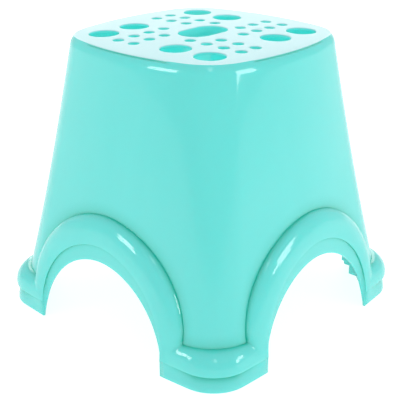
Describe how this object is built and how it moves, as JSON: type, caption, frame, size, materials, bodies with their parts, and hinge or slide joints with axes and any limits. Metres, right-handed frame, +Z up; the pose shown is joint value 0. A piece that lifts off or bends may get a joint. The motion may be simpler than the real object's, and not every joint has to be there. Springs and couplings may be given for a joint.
{
  "type": "shower stool",
  "caption": "One-piece moulded plastic shower stool: square tapered body, an arch in each side, drain holes and a hand slot in the seat, non-slip foot pads.",
  "frame": {"origin": "on the floor, under the middle of the seat", "axes": "+Z up; X and Y square to the sides, with the long way of the seat's hand slot along Y"},
  "size_m": [0.2614, 0.2614, 0.2399],
  "materials": {
    "shell_plastic": "glossy sides, fine matte texture on the seat",
    "pad_rubber": "matte"
  },
  "bodies": {
    "root": {"stool_shell": "shell_plastic", "foot_pad_front_right": "pad_rubber", "foot_pad_back_right": "pad_rubber", "foot_pad_back_left": "pad_rubber", "foot_pad_front_left": "pad_rubber"}
  },
  "joints": []
}
